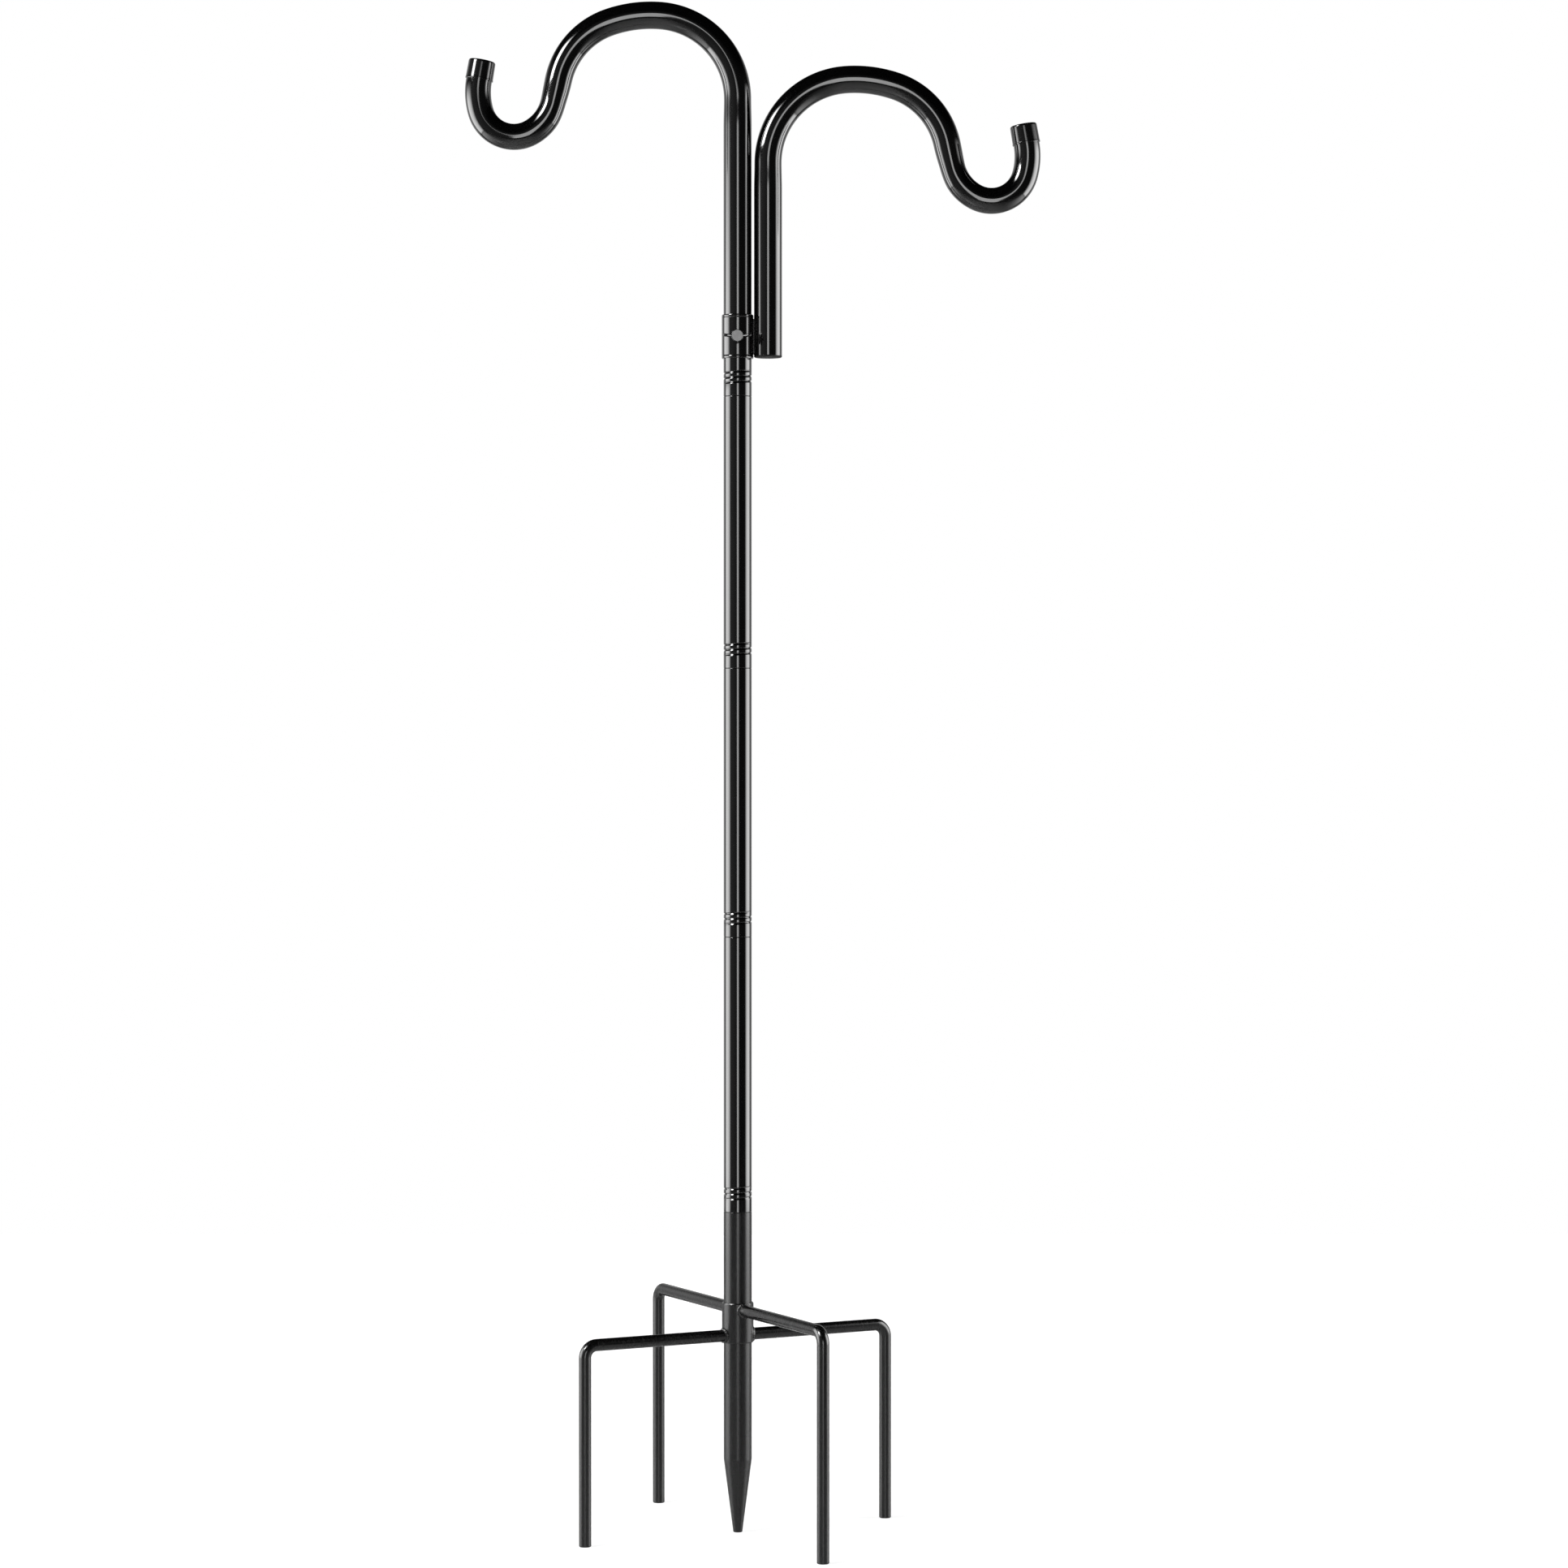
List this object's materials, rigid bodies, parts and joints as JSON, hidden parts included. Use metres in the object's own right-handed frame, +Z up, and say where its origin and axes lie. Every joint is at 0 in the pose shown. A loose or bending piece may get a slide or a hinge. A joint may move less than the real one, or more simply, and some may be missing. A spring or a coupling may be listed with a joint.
{
  "type": "double shepherds hook",
  "caption": "Screwed-together steel garden pole with a tall hook, a second hook on a clamped sliding collar, and a stake between two welded ground forks.",
  "frame": {"origin": "middle of the stake's flat tip, which is the height of the fork legs' ends", "axes": "+Z up the pole, +X towards the sliding hook (the tall hook points to -X), -Y to the front, where the wing screw is"},
  "size_m": [0.52, 0.3044, 1.3845],
  "materials": {
    "gloss_black_tube": "glossy black powder coat",
    "satin_black_steel": "semi-gloss black paint",
    "black_cap": "moulded gloss black",
    "bush_plastic": "moulded satin black",
    "screw_black": "gloss black paint"
  },
  "bodies": {
    "mast": {"tall_hook_tube": "gloss_black_tube", "tall_hook_cap": "black_cap", "upper_pole": "gloss_black_tube", "middle_pole": "gloss_black_tube", "lower_pole": "gloss_black_tube", "ground_stake": "satin_black_steel", "stake_point": "satin_black_steel", "hub_sleeve": "satin_black_steel", "upper_fork": "satin_black_steel", "lower_fork": "satin_black_steel", "fork_welds": "satin_black_steel"},
    "bushes": {"upper_bush": "bush_plastic", "lower_bush": "bush_plastic"},
    "arm": {"arm_hook_tube": "gloss_black_tube", "arm_hook_cap": "black_cap", "arm_tube_plug": "black_cap", "collar_sleeve": "gloss_black_tube", "collar_welds": "gloss_black_tube", "weld_nut": "screw_black"},
    "screw_shank": {"wing_screw_shank": "screw_black"},
    "screw_head": {"wing_screw_head": "screw_black"}
  },
  "joints": [
    {"name": "arm_height", "type": "slide", "parent": "mast", "child": "bushes", "axis": [0, 0, 1], "range_m": [-0.845, 0.045]},
    {"name": "arm_swivel", "type": "hinge", "parent": "bushes", "child": "arm", "pos_m": [0, 0, 1.0823], "axis": [0, 0, 1], "range_deg": [-150, 150]},
    {"name": "screw_travel", "type": "slide", "parent": "arm", "child": "screw_shank", "axis": [0, -1, 0], "range_m": [0, 0.0016]},
    {"name": "screw_turn", "type": "hinge", "parent": "screw_shank", "child": "screw_head", "pos_m": [0, -0.0208, 1.0812], "axis": [0, -1, 0], "range_deg": [0, 720]}
  ],
  "couplings": [
    {"joint": "screw_travel", "follows": "screw_turn", "m_per_rad": 0.00012732}
  ]
}
